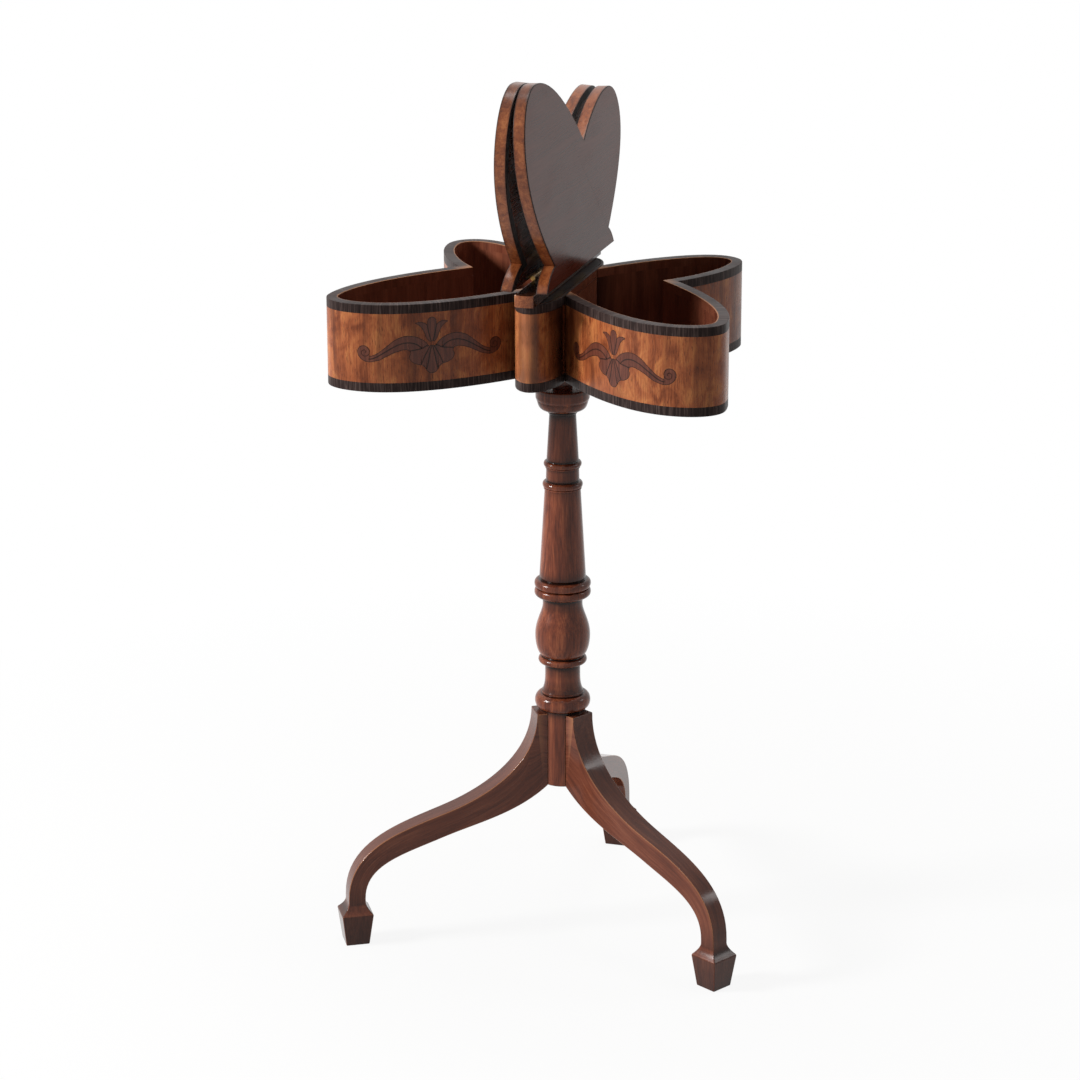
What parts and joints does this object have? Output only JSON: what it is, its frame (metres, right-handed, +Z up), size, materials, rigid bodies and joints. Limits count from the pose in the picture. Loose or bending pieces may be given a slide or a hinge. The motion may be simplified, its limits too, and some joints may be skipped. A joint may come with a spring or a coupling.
{
  "type": "butterfly work table",
  "caption": "Butterfly-shaped work table: curved open compartments under hinged lids either side of a spine, on a turned column with cabriole legs and spade feet.",
  "frame": {"origin": "on the floor, below the middle of the table's own overall box with the lids open", "axes": "+Z up, +X towards the right wing, +Y towards the rear leg; the column stands 31.1 mm in front of the origin"},
  "size_m": [0.4314, 0.4182, 0.9276],
  "materials": {
    "polished_mahogany": "dark red-brown mahogany, polished, with darker toning in the turned recesses",
    "mahogany_veneer": "figured mahogany veneer, warm orange-brown, satin polish, dark scroll marquetry on the front lobes",
    "rosewood": "near-black rosewood cross-banding, satin",
    "stained_lining": "stained inside boards, satin",
    "brass": "aged brass",
    "wrought_iron": "blackened iron",
    "steel": "plain steel screws"
  },
  "bodies": {
    "stand": {"column": "polished_mahogany", "leg_front_left": "polished_mahogany", "leg_front_right": "polished_mahogany", "leg_rear": "polished_mahogany", "leg_brace": "wrought_iron", "brace_screw_hub": "steel", "brace_screw_front_left": "steel", "brace_screw_front_right": "steel", "brace_screw_rear": "steel", "body_core": "mahogany_veneer", "body_rim_band": "rosewood", "body_base_band": "rosewood", "spine_cap": "polished_mahogany", "left_wing_wall": "mahogany_veneer", "left_rim_lipping": "rosewood", "left_base_lipping": "rosewood", "left_bottom_board": "stained_lining", "right_wing_wall": "mahogany_veneer", "right_rim_lipping": "rosewood", "right_base_lipping": "rosewood", "right_bottom_board": "stained_lining", "left_front_hinge_cap_leaf": "brass", "left_front_hinge_pin": "brass", "left_front_hinge_cap_screw_1": "brass", "left_front_hinge_cap_screw_2": "brass", "left_rear_hinge_cap_leaf": "brass", "left_rear_hinge_pin": "brass", "left_rear_hinge_cap_screw_1": "brass", "left_rear_hinge_cap_screw_2": "brass", "right_front_hinge_cap_leaf": "brass", "right_front_hinge_pin": "brass", "right_front_hinge_cap_screw_1": "brass", "right_front_hinge_cap_screw_2": "brass", "right_rear_hinge_cap_leaf": "brass", "right_rear_hinge_pin": "brass", "right_rear_hinge_cap_screw_1": "brass", "right_rear_hinge_cap_screw_2": "brass"},
    "left_lid": {"left_lid": "polished_mahogany", "left_front_hinge_lid_leaf": "brass", "left_front_hinge_lid_screw_1": "brass", "left_front_hinge_lid_screw_2": "brass", "left_rear_hinge_lid_leaf": "brass", "left_rear_hinge_lid_screw_1": "brass", "left_rear_hinge_lid_screw_2": "brass"},
    "right_lid": {"right_lid": "polished_mahogany", "right_front_hinge_lid_leaf": "brass", "right_front_hinge_lid_screw_1": "brass", "right_front_hinge_lid_screw_2": "brass", "right_rear_hinge_lid_leaf": "brass", "right_rear_hinge_lid_screw_1": "brass", "right_rear_hinge_lid_screw_2": "brass"}
  },
  "joints": [
    {"name": "left_lid_hinge", "type": "hinge", "parent": "stand", "child": "left_lid", "pos_m": [-0.0105, -0.03112, 0.7215], "axis": [0, -1, 0], "range_deg": [0, 93.28]},
    {"name": "right_lid_hinge", "type": "hinge", "parent": "stand", "child": "right_lid", "pos_m": [0.0105, -0.03112, 0.7215], "axis": [0, 1, 0], "range_deg": [0, 93.28]}
  ]
}
